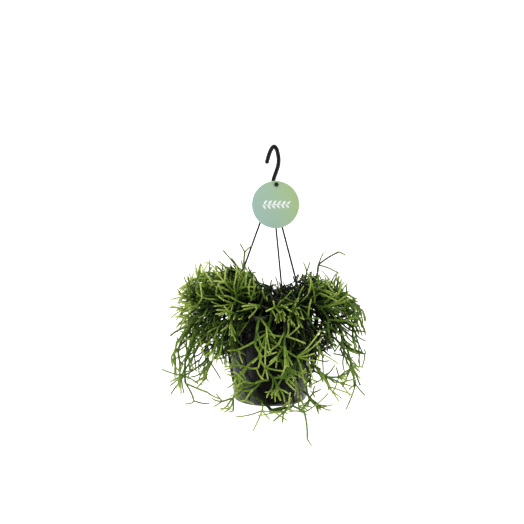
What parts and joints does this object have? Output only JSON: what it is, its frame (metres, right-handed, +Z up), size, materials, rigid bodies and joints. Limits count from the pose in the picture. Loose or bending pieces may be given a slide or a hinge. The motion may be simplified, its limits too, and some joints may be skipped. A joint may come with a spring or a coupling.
{
  "type": "mistletoe cactus in a hanging pot",
  "caption": "Mistletoe cactus with jointed cylindrical stems that branch in whorls, rooted in a tapered round pot that hangs on a hook with slanting arms and carries a round blank label.",
  "frame": {"origin": "the seat inside the bend of the hook, where the object hangs on its rail or bracket", "axes": "+Z up, -Y towards the front with the label, +X to the right seen from the front"},
  "size_m": [0.3114, 0.2367, 0.4439],
  "materials": {
    "pot_plastic": "satin charcoal plastic with soft broad highlights",
    "hanger_plastic": "satin black moulded plastic",
    "peat": "dark crumbly potting peat",
    "label_card": "pale mint printed plastic card, plain, fading to yellow-green",
    "stem": "waxy green skin, light yellow-green at the young tips and dark green inside"
  },
  "bodies": {
    "planter": {"pot": "pot_plastic", "soil": "peat", "hanger_hook": "hanger_plastic", "hanger_arm_1": "hanger_plastic", "hanger_arm_2": "hanger_plastic", "hanger_arm_3": "hanger_plastic", "stems_front_centre": "stem", "stems_front_low": "stem", "stems_right_low": "stem", "stems_far_right": "stem", "stems_left_low": "stem", "stems_upper_left": "stem", "stems_upper_right": "stem", "stems_left_light": "stem", "stems_right_star": "stem", "stems_left_top": "stem", "stems_left_mid": "stem", "stems_left_front": "stem", "stems_left_back": "stem", "stems_left_skirt": "stem", "stems_right_top": "stem", "stems_right_mid": "stem", "stems_right_front": "stem", "stems_right_back": "stem", "stems_right_skirt": "stem", "stems_back_mid": "stem", "stems_back_left": "stem", "stems_back_right": "stem", "stems_front_left": "stem", "stems_front_mid": "stem", "stems_front_right": "stem", "stems_inner": "stem", "stems_inner_right": "stem", "stems_inner_left": "stem", "stems_middle_right": "stem", "stems_middle_left": "stem", "stems_middle_front": "stem", "stems_middle_back": "stem", "stems_front_hang_left": "stem", "stems_front_hang_mid": "stem", "stems_front_hang_right": "stem", "stems_left_hang": "stem", "stems_right_hang": "stem", "stems_right_hang_front": "stem"},
    "label": {"label": "label_card"}
  },
  "joints": [
    {"name": "label_swing", "type": "hinge", "parent": "planter", "child": "label", "pos_m": [0.0031, -0.0223, -0.0587], "axis": [0, 1, 0], "continuous": true}
  ]
}
